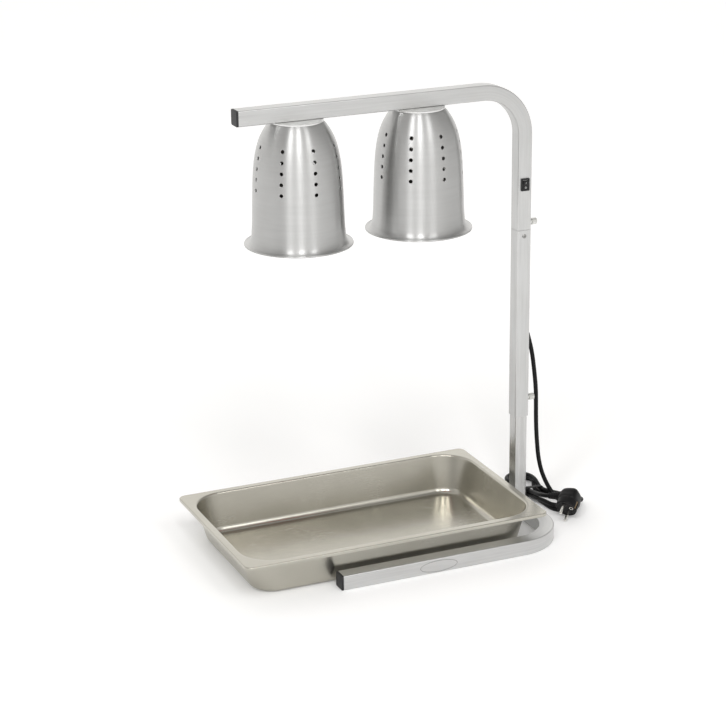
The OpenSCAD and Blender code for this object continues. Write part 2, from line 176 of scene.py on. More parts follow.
def tube(name, pts, d, mat, sides=20):
    """A round cord along pts, its ends closed."""
    p = [Vector(q) for q in pts]
    verts = []
    u = (p[1] - p[0]).orthogonal().normalized()
    for i, q in enumerate(p):
        t = (p[min(i + 1, len(p) - 1)] - p[max(i - 1, 0)]).normalized()
        u = (u - t * u.dot(t)).normalized()
        v = t.cross(u)
        verts += [q + (u * math.cos(2 * math.pi * j / sides) + v * math.sin(2 * math.pi * j / sides)) * d / 2
                  for j in range(sides)]
    faces = grid_faces(len(p), sides) + end_caps(len(p), sides)
    return make(name, verts, faces, None, mat, weighted=False)


def lathe(profile, origin, axis, side, around=64, shape=None):
    """Vertices and faces of a closed solid: (radius, distance along axis) rings, ends capped.

    around is the number of angles or a list of them; shape(angle, radius, distance) may change
    a ring's radius with the angle."""
    o, w = Vector(origin), Vector(axis).normalized()
    u = (Vector(side) - w * w.dot(Vector(side))).normalized()
    v = w.cross(u)
    angles = around if isinstance(around, list) else [2 * math.pi * j / around for j in range(around)]
    verts = []
    for r, s in profile:
        for a in angles:
            q = shape(a, r, s) if shape else r
            verts.append(o + w * s + (u * math.cos(a) + v * math.sin(a)) * q)
    n = len(angles)
    return verts, grid_faces(len(profile), n) + end_caps(len(profile), n)


def mm_lathe(profile, *args, **kw):
    """A lathe solid whose profile is in millimetres."""
    return lathe([(r * MM, s * MM) for r, s in profile], *args, **kw)


def merged(name, solids, body, mat, weighted=True):
    """One piece made of several closed solids."""
    verts, faces = [], []
    for vs, fs in solids:
        base = len(verts)
        verts += vs
        faces += [tuple(base + i for i in f) for f in fs]
    ob = make(name, verts, faces, body, mat, weighted=weighted)
    recalc(ob)
    return ob


# ------------------------------------------------------------------ node helpers
class Mat:
    """A material and short ways to add nodes to it."""

    INPUTS = {"color": "Base Color", "rough": "Roughness", "metal": "Metallic", "coat": "Coat Weight",
              "coat_rough": "Coat Roughness", "aniso": "Anisotropic", "aniso_rot": "Anisotropic Rotation",
              "tangent": "Tangent", "normal": "Normal", "spec": "Specular IOR Level",
              "glow": "Emission Color", "glow_strength": "Emission Strength"}

    def __init__(self, name):
        self.m = bpy.data.materials.new(name)
        self.m.use_nodes = True
        self.t = self.m.node_tree
        self.p = self.t.nodes["Principled BSDF"]

    def n(self, kind, **kw):
        node = self.t.nodes.new(kind)
        for k, v in kw.items():
            setattr(node, k, v)
        return node

    def put(self, sock, v):
        """Links a socket to v, or sets it to the value v."""
        if isinstance(v, bpy.types.NodeSocket):
            self.t.links.new(v, sock)
        elif v is not None:
            sock.default_value = v

    def set(self, **kw):
        """Sets inputs of the surface shader, by the short names above."""
        for k, v in kw.items():
            self.put(self.p.inputs[self.INPUTS[k]], v)

    def obj(self):
        return self.n("ShaderNodeTexCoord").outputs["Object"]

    def math(self, op, a, b=None):
        n = self.n("ShaderNodeMath", operation=op)
        self.put(n.inputs[0], a)
        self.put(n.inputs[1], b)
        return n.outputs[0]

    def blend(self, a, wa, b, wb):
        """a times wa plus b times wb."""
        return self.math("ADD", self.math("MULTIPLY", a, wa), self.math("MULTIPLY", b, wb))

    def length(self, a, b):
        """Length of the flat vector (a, b)."""
        return self.math("SQRT", self.math("ADD", self.math("MULTIPLY", a, a), self.math("MULTIPLY", b, b)))

    def xyz(self, v):
        n = self.n("ShaderNodeSeparateXYZ")
        self.put(n.inputs[0], v)
        return n.outputs[:3]

    def vec(self, x, y, z):
        n = self.n("ShaderNodeCombineXYZ")
        for s, v in zip(n.inputs, (x, y, z)):
            self.put(s, v)
        return n.outputs[0]

    def noise(self, vec, scale=1.0, detail=2.0, rough=0.5):
        n = self.n("ShaderNodeTexNoise")
        self.put(n.inputs["Vector"], vec)
        n.inputs["Scale"].default_value = scale
        n.inputs["Detail"].default_value = detail
        n.inputs["Roughness"].default_value = rough
        return n.outputs[0]

    def scaled(self, vec, sx, sy, sz):
        n = self.n("ShaderNodeVectorMath", operation="MULTIPLY")
        self.put(n.inputs[0], vec)
        n.inputs[1].default_value = (sx, sy, sz)
        return n.outputs[0]

    def ramp(self, v, a, b, lo=0.0, hi=1.0):
        """a where v is lo and b where it is hi, straight between and clamped beyond."""
        n = self.n("ShaderNodeMapRange")
        self.put(n.inputs["Value"], v)
        for k, x in zip(("From Min", "From Max", "To Min", "To Max"), (lo, hi, a, b)):
            n.inputs[k].default_value = x
        return n.outputs[0]

    def mix(self, f, a, b):
        """Colour a where f is 0 and b where it is 1."""
        n = self.n("ShaderNodeMix", data_type="RGBA")
        self.put(n.inputs[0], f)
        for s, v in ((n.inputs[6], a), (n.inputs[7], b)):
            self.put(s, tuple(v) + (1,) if isinstance(v, tuple) and len(v) == 3 else v)
        return n.outputs[2]

    def bump(self, h, strength, dist):
        n = self.n("ShaderNodeBump")
        self.put(n.inputs["Height"], h)
        n.inputs["Strength"].default_value = strength
        n.inputs["Distance"].default_value = dist
        return n.outputs[0]

    def edge(self, amount, lo=0.52, hi=0.6):
        """A mask of that amount on worn, outward edges."""
        g = self.n("ShaderNodeNewGeometry")
        return self.ramp(g.outputs["Pointiness"], 0, amount, lo, hi)


def along_path(m, symmetric, corner_x, corner_q):
    """Position along a tube with rounded corners, as (along, across, third) for the brushing.

    The path runs in the XZ plane, or in the XY plane on both sides of y = 0 if it is symmetric.
    Its corner's centre is at x = corner_x and z, or the distance from y = 0, = corner_q."""
    x, y, z = m.xyz(m.obj())
    q, third = (m.math("ABSOLUTE", y), z) if symmetric else (z, y)
    dx = m.math("SUBTRACT", x, corner_x)
    dq = m.math("SUBTRACT", q, corner_q)
    px = m.math("MAXIMUM", dx, 0.0)
    pq = m.math("MAXIMUM", dq, 0.0)
    across = m.math("MAXIMUM", m.length(px, pq), m.math("MAXIMUM", dq, dx))
    angle = m.math("ARCTAN2", px, m.math("MAXIMUM", pq, 1e-5))
    along = m.math("ADD", m.math("MINIMUM", dx, 0.0), m.math("MULTIPLY", angle, BEND))
    along = m.math("SUBTRACT", along, m.math("MINIMUM", dq, 0.0))
    return m.vec(along, across, third)


def line_coords(axis):
    """Coordinates whose first part runs along the named axis."""
    def coords(m):
        x, y, z = m.xyz(m.obj())
        return m.vec(*{"x": (x, y, z), "y": (y, x, z), "z": (z, x, y)}[axis])
    return coords


def fixed(axis):
    """A tangent that is the same everywhere."""
    return lambda m: m.vec(*[1.0 if axis == a else 0.0 for a in "xyz"])


def brushed(name, color, coords, rough=0.3, tangent=None, aniso=0.0, streak=1.0):
    """Satin brushed steel. coords gives a vector whose first part runs along the brushing."""
    m = Mat(name)
    v = coords(m)
    fine = m.noise(m.scaled(v, 6, 2600, 2600), 1, 3, 0.6)
    mid = m.noise(m.scaled(v, 9, 420, 420), 1, 3, 0.6)
    wide = m.noise(m.scaled(v, 14, 60, 60), 1, 2, 0.5)
    stain = m.noise(m.obj(), 22, 3, 0.6)
    dark = tuple(c * (1 - 0.13 * streak) for c in color)
    light = tuple(min(1, c * (1 + 0.06 * streak)) for c in color)
    col = m.mix(m.ramp(m.blend(mid, 0.6, wide, 0.4), 0, 1, 0.35, 0.65), dark, light)
    warmed = tuple(c * k for c, k in zip(color, (0.97, 0.955, 0.93)))
    col = m.mix(m.ramp(stain, 0, 0.25, 0.45, 0.75), col, warmed)
    gloss = m.ramp(m.blend(fine, 0.7, stain, 0.3), rough - 0.06, rough + 0.07, 0.3, 0.7)
    grooves = m.bump(m.math("ADD", fine, m.math("MULTIPLY", mid, 0.6)), 0.10 * streak, 0.00012)
    m.set(color=col, metal=1.0, rough=gloss, normal=grooves)
    if tangent:
        m.set(aniso=aniso, aniso_rot=0.25, tangent=tangent(m))
    return m.m


def shade_material():
    """Spun metal: fine rings round each lamp's own axis."""
    m = Mat("spun_shade")
    x, y, z = m.xyz(m.obj())
    left_x, right_x = LAMPS["left"][0], LAMPS["right"][0]
    is_right = m.math("GREATER_THAN", x, (left_x + right_x) / 2)
    lamp_x = m.math("ADD", m.math("MULTIPLY", is_right, right_x - left_x), left_x)
    dx = m.math("SUBTRACT", x, lamp_x)
    angle = m.math("ARCTAN2", y, dx)
    # distance down the bell, so rings stay even over the shoulder
    down = m.math("SUBTRACT", m.length(dx, y), z)
    c = m.math("MULTIPLY", m.math("COSINE", angle), 0.6)
    d = m.math("MULTIPLY", m.math("SINE", angle), 0.6)
    wide = m.vec(m.math("MULTIPLY", down, 170), m.math("MULTIPLY", c, 1.5), m.math("MULTIPLY", d, 1.5))
    ring = m.noise(m.vec(m.math("MULTIPLY", down, 1900), c, d), 1, 3, 0.6)
    band = m.noise(wide, 1, 2, 0.5)
    blotch = m.noise(m.obj(), 26, 3, 0.55)
    tone = m.blend(ring, 0.45, band, 0.55)
    col = m.mix(m.ramp(tone, 0, 1, 0.3, 0.7), (0.505, 0.505, 0.5), (0.55, 0.55, 0.545))
    col = m.mix(m.ramp(blotch, 0, 0.25, 0.45, 0.8), col, (0.505, 0.5, 0.49))
    rough = m.ramp(m.blend(ring, 0.6, blotch, 0.4), 0.37, 0.45, 0.3, 0.7)
    tangent = m.n("ShaderNodeTangent", direction_type="RADIAL", axis="Z").outputs[0]
    m.set(color=col, metal=1.0, rough=rough, aniso=0.93, aniso_rot=0.25, tangent=tangent,
          normal=m.bump(m.math("ADD", ring, m.math("MULTIPLY", band, 0.25)), 0.08, 0.00008))
    return m.m


def pan_material():
    """Stamped satin stainless steel, a little warm."""
    m = Mat("pan_steel")
    v = m.obj()
    grain = m.noise(m.scaled(v, 40, 1500, 1500), 1, 3, 0.6)
    cloud = m.noise(v, 9, 4, 0.55)
    spots = m.noise(v, 240, 2, 0.5)
    wave = m.noise(v, 7, 1, 0.5)
    col = m.mix(m.ramp(cloud, 0, 1, 0.35, 0.65), (0.455, 0.438, 0.385), (0.51, 0.493, 0.438))
    col = m.mix(m.ramp(grain, 0, 0.35, 0.4, 0.7), col, (0.42, 0.404, 0.358))
    rough = m.ramp(m.blend(grain, 0.4, cloud, 0.6), 0.225, 0.285, 0.3, 0.7)
    height = m.math("ADD", m.math("MULTIPLY", wave, 1.8), m.blend(grain, 0.05, spots, 0.03))
    m.set(color=col, metal=1.0, rough=rough, normal=m.bump(height, 0.16, 0.0006))
    return m.m


def plastic(name, color, rough=0.45, grain=900, depth=0.00006, wear=0.35, spec=0.5, dusty=0.5):
    """Moulded plastic or rubber with a fine grain, dust and paler worn edges."""
    m = Mat(name)
    v = m.obj()
    g = m.noise(v, grain, 3, 0.6)
    dust = m.noise(v, 60, 4, 0.65)
    pale = tuple(min(1, c + 0.035) for c in color)
    col = m.mix(m.ramp(dust, 0, dusty, 0.45, 0.8), color, pale)
    col = m.mix(m.edge(wear), col, tuple(min(1, c * 1.4 + 0.05) for c in color))
    m.set(color=col, rough=m.ramp(g, rough - 0.08, rough + 0.1, 0.3, 0.7), spec=spec,
          normal=m.bump(g, 0.25, depth))
    return m.m


def bright(name, color, rough):
    """Bare turned metal, a little tarnished and brighter on its edges."""
    m = Mat(name)
    v = m.obj()
    g = m.noise(m.scaled(v, 0.15, 1, 1), 700, 3, 0.6)
    tarnish = m.noise(v, 90, 4, 0.6)
    col = m.mix(m.ramp(tarnish, 0, 0.6, 0.45, 0.8), color, tuple(c * 0.8 for c in color))
    col = m.mix(m.edge(0.5), col, tuple(min(1, c * 1.15) for c in color))
    m.set(color=col, metal=1.0, rough=m.ramp(g, rough - 0.05, rough + 0.12, 0.3, 0.7),
          normal=m.bump(g, 0.15, 0.00008))
    return m.m


def porcelain():
    m = Mat("porcelain")
    v = m.obj()
    speck = m.noise(v, 300, 3, 0.6)
    col = m.mix(m.ramp(speck, 0, 1, 0.4, 0.75), (0.84, 0.82, 0.77), (0.74, 0.71, 0.65))
    m.set(color=col, rough=0.18, coat=0.4, coat_rough=0.08, normal=m.bump(m.noise(v, 60, 2), 0.1, 0.0003))
    return m.m


def red_glass():
    """Red bulb glass with a metal reflector coating, which ends above the front dome."""
    m = Mat("bulb_glass")
    v = m.obj()
    coat = m.ramp(m.xyz(v)[2], 0, 1, 0.556, 0.562)
    speck = m.noise(v, 40, 3, 0.6)
    front = m.mix(m.ramp(speck, 0, 0.4, 0.3, 0.7), (0.55, 0.05, 0.03), (0.42, 0.03, 0.02))
    m.set(color=m.mix(coat, front, (0.62, 0.60, 0.57)), metal=coat,
          rough=m.ramp(speck, 0.08, 0.16, 0.3, 0.7), coat=0.5, coat_rough=0.03,
          normal=m.bump(m.noise(v, 25, 2), 0.08, 0.0008))
    return m.m


STEEL = (0.545, 0.546, 0.542)
BLACK = (0.004, 0.004, 0.0045)

mast_mat = brushed("tube_steel", STEEL, line_coords("z"), 0.33, fixed("z"), 0.45, 0.7)
inner_mat = brushed("column_steel", (0.55, 0.55, 0.545), line_coords("z"), 0.27, fixed("z"), 0.4, 1.3)
arm_mat = brushed("arm_steel", STEEL,
                  lambda m: along_path(m, False, COL - BEND, ARM_Z - BEND), 0.34, streak=0.7)
# the discs get a paler copy of the steel: painted light that lifts them out of the arm's shadow
disc_painted_light_mat = brushed("disc_steel_painted_light", (0.8, 0.8, 0.79), line_coords("x"), 0.4, streak=0.7)
badge_mat = brushed("etched_steel", (0.17, 0.17, 0.168), line_coords("x"), 0.5, fixed("x"), 0.2, 0.6)
# lighter than the other tube steel: a painted highlight for the brighter glint on the base's bend and legs
base_painted_light_mat = brushed("base_steel_painted_highlight", (0.60, 0.601, 0.597),
                   lambda m: along_path(m, True, COL - BEND, BAR_Y - BEND), 0.33, streak=0.7)
shade_mat = shade_material()
pan_mat = pan_material()
cap_mat = plastic("cap_plastic", (0.014, 0.014, 0.016), 0.5, spec=0.3)
switch_mat = plastic("switch_plastic", (0.008, 0.008, 0.009), 0.32, 1400, 0.00003, 0.2, 0.25)
mark_mat = plastic("print_grey", (0.42, 0.42, 0.41), 0.5, 2000, 0.00002, 0.1)
rubber_mat = plastic("cord_black", BLACK, 0.42, 1300, 0.00008, 0.12, 0.2, 0.12)
plug_mat = plastic("plug_rubber", BLACK, 0.38, 1500, 0.00006, 0.2, 0.2, 0.12)
# a duller, darker copy of the black plug plastic: painted shade inside the earth socket
socket_shade_mat = plastic("socket_painted_shade", (0.004, 0.004, 0.004), 0.7, 900, 0.00006, 0.0, 0.1)
lead_mat = plastic("lead_insulation", (0.62, 0.57, 0.47), 0.6, 1600, 0.00006, 0.1)
screw_mat = bright("bright_steel", (0.66, 0.66, 0.64), 0.24)
dark_screw = bright("screw_steel", (0.34, 0.34, 0.33), 0.35)
brass_mat = bright("brass", (0.70, 0.52, 0.25), 0.25)
# dull brass made much darker than the other brass: painted shade for the clips sunk in their channels
clip_painted_shade_mat = bright("clip_brass_painted_shade", (0.22, 0.16, 0.095), 0.45)
pin_mat = bright("pin_nickel", (0.74, 0.73, 0.69), 0.14)
porcelain_mat = porcelain()
glass_mat = red_glass()

# the CAD nodes that stay in view
CAD_MATS = {
    "leg_cap_front": cap_mat, "leg_cap_rear": cap_mat, "arm_cap": cap_mat, "inner_column": inner_mat,
    "joiner_sleeve": inner_mat, "joiner_screw": dark_screw, "lower_boss": screw_mat, "upper_boss": screw_mat,
    "lower_thumb_screw": screw_mat, "upper_thumb_screw": screw_mat,
    "switch_housing": switch_mat, "switch_rocker": switch_mat, "rocker_marks": mark_mat,
    "switch_terminals": brass_mat, "mounting_disc_left": disc_painted_light_mat, "mounting_disc_right": disc_painted_light_mat,
    "nipple_left": brass_mat, "nipple_right": brass_mat, "nipple_nuts": brass_mat,
    "lampholder_left": porcelain_mat, "lampholder_right": porcelain_mat,
    "bulb_glass_left": glass_mat, "bulb_glass_right": glass_mat,
    "bulb_cap_left": brass_mat, "bulb_cap_right": brass_mat, "lamp_leads": lead_mat,
    "plug_pins": pin_mat, "plug_earth_clips": clip_painted_shade_mat,
}
for node, mat in CAD_MATS.items():
    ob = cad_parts[node]
    ob.data.materials.clear()
    ob.data.materials.append(mat)


# ------------------------------------------------------------------ cord
CORD_D = 0.0074
CORD_STEP = 2.5         # between the points of the finished route, mm
FOLD_R = 23.6           # centreline radius of the bundle's folds, mm
WAIST_Y = 48.5          # where the tie goes round the bundle, mm

# out of the sleeve on the back of the mast and down to the table, mm
DROP = [(265.9, 19.1, 398), (267.2, 19.1, 392), (269, 19.1, 383.5), (271.53, 19.1, 371.6),
        (275.5, 18.9, 355), (282.5, 18.1, 334), (289, 17, 314), (294, 16, 295), (297.4, 14, 276.6),
        (299.2, 12, 259), (300.4, 9, 238.6), (301.6, 6.5, 214.5), (301.4, 4.5, 190.5), (301.3, 3.5, 166),
        (301.5, 2, 141.5), (303, 1, 116.6), (305.8, 0.5, 91), (311.6, 0, 66), (318.4, -2.2, 47),
        (324.2, -6.5, 33.5), (328.6, -13, 24.5)]
# the bundle's folds: centre, angles in degrees and heights. The first one stays high until it has
# crossed the runs below it, for the last number's part of its turn
FOLDS = [((353.5, -19.5), (188, 340), (19.6, 12.5), 0.4), ((327, 100), (0, 180), (3.7, 3.7)),
         ((343, -18), (180, 360), (3.7, 3.7)), ((321, 95), (0, 180), (11.1, 11.1)),
         ((340.5, -14), (180, 360), (11.1, 11.1)), ((315.5, 86), (0, 180), (18.5, 18.5))]
# the run after each fold; the last one goes up into the plug
RUNS = [[(376, -11, 9), (370, 6, 6), (359.5, 21, 4.2), (348.5, 35, 4.4), (341.5, WAIST_Y, 4.7),
         (341.5, 60, 4.3), (345, 73, 3.8), (349.3, 87, 3.7)],
        [(305.2, 88, 3.7), (311.6, 76, 3.9), (319.3, 64, 4.2), (321.4, 56, 4.5), (320, WAIST_Y, 4.7),
         (319, 32, 4.2), (318, 13, 3.8), (318.4, -3, 3.7)],
        [(363.5, -3, 3.7), (356, 10, 3.8), (346, 22, 4.2), (337, 34, 4.6), (331.6, WAIST_Y, 4.8),
         (330, 57, 7), (333.2, 68, 10.2), (341.2, 82, 11.1)],
        [(299.6, 82, 10.3), (305, 69, 7), (309.6, 58, 5), (311.8, WAIST_Y, 4.7), (312, 33, 5.6),
         (311.8, 16, 8.8), (314.2, -1, 11.1)],
        [(361.6, 0, 11.1), (354, 13, 11.3), (345, 25, 11.6), (338.4, 37, 11.8), (336.2, WAIST_Y, 11.8),
         (336.6, 59, 15), (338.2, 71, 18.3)],
        [(295.2, 72.5, 17.4), (304.6, 62, 13.6), (311.6, WAIST_Y + 1.5, 12), (313.2, 36, 12.8),
         (312.6, 22, 15.8), (311.8, 8, 18.9), (312.4, -3, 21.3), (315.4, -12.5, 23.1),
         (321, -22.06, 25.57), (327.6, -31.7, 28.2)]]


def fold(centre, angles, heights, hold=0.0, steps=8):
    """Points of one fold, whose height starts to change after the part hold of its turn."""
    out = []
    for i in range(steps + 1):
        f = i / steps
        a = math.radians(angles[0] + (angles[1] - angles[0]) * f)
        h = max(0, f - hold) / (1 - hold)
        out.append((centre[0] + FOLD_R * math.cos(a), centre[1] + FOLD_R * math.sin(a),
                    heights[0] + (heights[1] - heights[0]) * h))
    return out


def even(pts, step, passes=6):
    """Points a step apart on the same line, after a little smoothing, and its length."""
    line = np.array([tuple(q) for q in pts])
    for _ in range(passes):
        line[1:-1] = 0.5 * line[1:-1] + 0.25 * (line[:-2] + line[2:])
    gaps = np.linalg.norm(np.diff(line, axis=0), axis=1)
    along = np.concatenate([[0], np.cumsum(gaps)])
    t = np.linspace(0, along[-1], int(along[-1] / step) + 1)
    return np.stack([np.interp(t, along, line[:, k]) for k in range(3)], axis=1), along[-1]


knots = list(DROP)
for turn, run in zip(FOLDS, RUNS):
    knots += fold(*turn) + run
route, route_length = even(catmull(knots, CORD_STEP), CORD_STEP)
cord = tube("mains_lead", [Vector(q) * MM for q in route], CORD_D, rubber_mat)
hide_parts("cord_drop", "cord_hank")
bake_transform(cord)


# ------------------------------------------------------------------ tie round the bundle
# a strap's rounded section: (part of the width, thicknesses from the middle)
STRAP = [(0, 0.0), (0.04, -0.4), (0.5, -0.496), (0.96, -0.4),
         (1, 0.0), (0.96, 0.4), (0.5, 0.496), (0.04, 0.4)]


def hull(pts):
    """Corner points of the convex outline of pts, anticlockwise."""
    def turn(a, b, c):
        return (b[0] - a[0]) * (c[1] - a[1]) - (b[1] - a[1]) * (c[0] - a[0])

    pts = sorted(set(pts))
    out = []
    for way in (pts, pts[::-1]):
        half = []
        for q in way:
            while len(half) > 1 and turn(half[-2], half[-1], q) <= 0:
                half.pop()
            half.append(q)
        out += half[:-1]
    return out


def strap(outline, closed, y0, y1, thick):
    """A flat strap from y0 to y1 with rounded edges, along an outline in the XZ plane, mm."""
    n = len(outline)
    verts = []
    for i, (x, z) in enumerate(outline):
        a = outline[(i - 1) % n if closed else max(i - 1, 0)]
        b = outline[(i + 1) % n if closed else min(i + 1, n - 1)]
        t = Vector((b[0] - a[0], 0, b[1] - a[1])).normalized()
        out = Vector((t.z, 0, -t.x))
        verts += [(Vector((x, y0 + (y1 - y0) * f, z)) + out * (h * thick)) * MM for f, h in STRAP]
    faces = grid_faces(n, len(STRAP), close_rows=closed)
    return verts, faces if closed else faces + end_caps(n, len(STRAP))


def tie_loop(spacing=1.2):
    """The strap's path round all the runs where they meet at the waist, as (x, z) in mm."""
    waist = [next((x, z) for x, y, z in run if abs(y - WAIST_Y) < 2) for run in RUNS]
    grip = 3.7 + 0.55        # the cord's radius, and half the strap with some play
    around = []
    for x, z in waist:
        for a in range(0, 360, 10):
            c, d = math.cos(math.radians(a)), math.sin(math.radians(a))
            around.append((round(x + grip * c, 3), round(z + grip * d, 3)))
    corners = hull(around)
    loop = []
    for a, b in zip(corners, corners[1:] + corners[:1]):
        n = max(1, int(math.hypot(b[0] - a[0], b[1] - a[1]) / spacing))
        loop += [(a[0] + (b[0] - a[0]) * i / n, a[1] + (b[1] - a[1]) * i / n) for i in range(n)]
    return loop


# the strap's loose end curls up on top of the bundle
flap = [(321 - i * 1.3, 15.9 + 0.08 * i + 0.012 * i * i) for i in range(-6, 9)]
tie = merged("lead_tie", [strap(tie_loop(), True, 44, 53, 0.8), strap(flap, False, 44.4, 52.6, 0.9)],
             "base", rubber_mat)
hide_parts("cord_tie")


# ------------------------------------------------------------------ strain relief
RELIEF_TILT = math.radians(168)       # of the sleeve, from straight up towards +X
SLEEVE_DIR = (math.sin(RELIEF_TILT), 0, math.cos(RELIEF_TILT))
outlet = Vector((COL, HALF, OUTLET_Z))
elbow = outlet + Y * 0.0066
BALL_R = 5.6                          # mm


def grooved(length, r0, r1, first, pitch, cut, end=0.9):
    """Rings of a sleeve that tapers from r0 to r1, with bending grooves, mm."""
    def taper(s):
        return r0 + (r1 - r0) * s / length

    out = [(taper(0), 0)]
    w = pitch * 0.42
    s = first
    while s + pitch < length:
        deep, edge = taper(s) - cut, taper(s) - cut * 0.8
        out += [(taper(s), s), (edge, s + 0.12 * w), (deep, s + 0.3 * w),
                (deep, s + 0.7 * w), (edge, s + 0.88 * w), (taper(s + w), s + w)]
        s += pitch
    return out + [(taper(length - end), length - end), (r1 - 0.12, length - end * 0.35), (r1 - 0.45, length)]


flange = [(5.9, 0), (6.3, 0.15), (6.4, 0.5), (6.35, 1.1), (6.1, 1.45),
          (5.5, 1.6), (5.1, 1.9), (4.9, 2.4), (4.9, 6.6)]
ball = [(BALL_R * math.sin(math.radians(a)), -BALL_R * math.cos(math.radians(a))) for a in range(6, 180, 12)]
tail = grooved(29, 5.1, 4.15, 8, 3.2, 0.5)
relief = merged("strain_relief_skin",
                [mm_lathe(flange, outlet, Y, X, 48)]
                + [mm_lathe(part, elbow, SLEEVE_DIR, Y, 48) for part in (ball, tail)],
                "mast", rubber_mat)
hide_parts("strain_relief")


# ------------------------------------------------------------------ plug
# its own +Z is the way the pins point and +X the way the cord leaves
PLUG_O = Vector((322.3, -70.1, 19.6)) * MM
PLUG_Z = Vector((-0.656, -0.583, -0.479)).normalized()
PLUG_X = Vector((-0.553, 0.804, -0.221)).normalized()
PLUG_Y = PLUG_Z.cross(PLUG_X)
PIN_Y = 0.0095                        # from the plug's axis to each pin's
NOTCH = math.asin(3 / 18.5)           # half the angle of an earth clip's channel


def plug_angles():
    """Even angles round the body, and one at each edge of both channels' sides."""
    out = [2 * math.pi * j / 96 for j in range(96)]
    for side in (NOTCH, NOTCH + 0.01):
        out += [side, math.pi - side, math.pi + side, 2 * math.pi - side]
    return sorted(out)


def plug_shape(a, r, s):
    """A round face and a squarer back, with channels for the earth clips and grip ribs."""
    depth = -s / MM
    c, n = abs(math.cos(a)), abs(math.sin(a))
    square = 1.0 / (c ** 5 + n ** 5) ** 0.2
    f = min(1, max(0, (depth - 11) / 5)) * 0.75
    q = r * ((1 - f) + f * (0.93 * square))
    if 15 < depth < 28 and n > 0.5:
        q -= 0.0006 * (0.5 + 0.5 * math.cos(a * 40)) * min(1, (n - 0.5) * 6)
    if depth < 15.5 and c > math.cos(NOTCH + 0.002):
        q = min(q, 0.0160 / c)
    return q


def flattened(a, r, s):
    """The sleeve's root is narrower across the plug's body."""
    return r * (1 - 0.28 * max(0, 1 - s / 0.02) * abs(math.cos(a)))


def ring_solid(profile, origin, axis, side, around=48):
    """A ring turned from a closed outline."""
    verts, _ = mm_lathe(profile, origin, axis, side, around)
    return verts, grid_faces(len(profile), around, close_rows=True)


back_rings = [(10.5, -36.6), (13.0, -36.1), (14.9, -34.8), (16.0, -32.8), (16.6, -30.6), (16.9, -29)]
grip_rings = [(17.0 + 0.25 * i, -28 + 2.1 * i) for i in range(6)]
face_rings = [(18.1, -16.1), (18.15, -15.6), (18.2, -15.4), (18.25, -13.4), (17.8, -13.1), (17.8, -12.6),
              (18.4, -12.3), (18.5, -11.8), (18.5, -6), (18.5, -1.2), (18.3, -0.5), (17.8, -0.1), (17.0, 0),
              (15.2, 0), (14.9, -0.5), (14.7, -0.6), (9, -0.6)]
plug_hull = mm_lathe(back_rings + grip_rings + face_rings, PLUG_O, PLUG_Z, PLUG_X, plug_angles(), plug_shape)
root = [(12.6, 7), (12.2, 9), (10.8, 12.5), (9.2, 15.5), (8.2, 18.5)]
sleeve = root + [(r, s + 19.5) for r, s in grooved(24.5, 7.8, 5.0, 1.5, 3.6, 1.0)]
plug_sleeve = mm_lathe(sleeve, PLUG_O - PLUG_Z * 0.030, PLUG_X, PLUG_Z, 56, flattened)
plug = merged("plug_shell", [plug_hull, plug_sleeve], "base", plug_mat)
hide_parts("plug_body")

# collars round the pins, and the earth socket's ring with a dark disc in it: painted shade for the depth of
# the hole
collar = [(4.6, -1.2), (4.6, -0.5), (4.3, -0.15), (3.6, 0), (2.2, 0)]
collars = merged("plug_pin_collars",
                 [mm_lathe(collar, PLUG_O + PLUG_Y * (s * PIN_Y), PLUG_Z, PLUG_X, 40) for s in (-1, 1)],
                 "base", plug_mat)
earth = PLUG_O - PLUG_X * 0.010
lip = [(2.4, 0.1), (3.3, 0.1), (3.5, -0.1), (3.5, -0.7), (2.4, -0.7)]
socket = merged("plug_socket_ring", [ring_solid(lip, earth, PLUG_Z, PLUG_X)], "base", pin_mat)
hole_shade = merged("plug_socket_shade_disc", [mm_lathe([(2.4, -0.62), (2.4, -0.52)], earth, PLUG_Z, PLUG_X, 40)],
              "base", socket_shade_mat, weighted=False)


# ------------------------------------------------------------------ tubes
def hollow_tube(name, stations, body, mat, node, wall=0.0015, r=0.002, inner_r=0.0005):
    """A square tube through stations: (centre, direction of section x, direction of section y)."""
    outer, inner = rounded(SIDE, r), rounded(SIDE - 2 * wall, inner_r)
    verts = []
    for section in (outer, inner):
        for c, a, b in stations:
            verts += [Vector(c) + a * u + b * v for u, v in section]
    k, n = len(stations), len(outer)
    faces = grid_faces(k, n)
    faces += [tuple(reversed(f)) for f in grid_faces(k, n, base=k * n)]
    for row, flip in ((0, False), (k - 1, True)):
        for j in range(n):
            w = (j + 1) % n
            q = (row * n + j, k * n + row * n + j, k * n + row * n + w, row * n + w)
            faces.append(tuple(reversed(q)) if flip else q)
    ob = make(name, verts, faces, body, mat)
    recalc(ob)
    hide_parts(node)


def bend(centre, u, v, third, start, steps=28):
    """Stations round a quarter bend about centre in the plane of u and v, from the start angle."""
    out = []
    for i in range(steps + 1):
        t = math.radians(start + 90 * i / steps)
        d = u * math.cos(t) + v * math.sin(t)
        out.append((Vector(centre) + d * BEND, d, third))
    return out


arm_path = [((COL, 0, SEAM + SEAM_GAP), X, Y), ((COL, 0, SEAM + 0.08), X, Y)]
arm_path += bend((COL - BEND, 0, ARM_Z - BEND), X, Z, Y, 0)
arm_path += [((x, 0, ARM_Z), Z, Y) for x in (0.0, ARM_X)]
hollow_tube("arm_tube_skin", arm_path, "arm", arm_mat, "arm_tube")

base_path = [((x, -BAR_Y, HALF), -Y, Z) for x in (LEG_X, 0.0)]
base_path += bend((COL - BEND, BEND - BAR_Y, HALF), X, Y, Z, -90)
base_path += bend((COL - BEND, BAR_Y - BEND, HALF), X, Y, Z, 0)
base_path += [((x, BAR_Y, HALF), Y, Z) for x in (0.0, LEG_X)]
hollow_tube("base_tube_skin", base_path, "base", base_painted_light_mat, "base_frame")

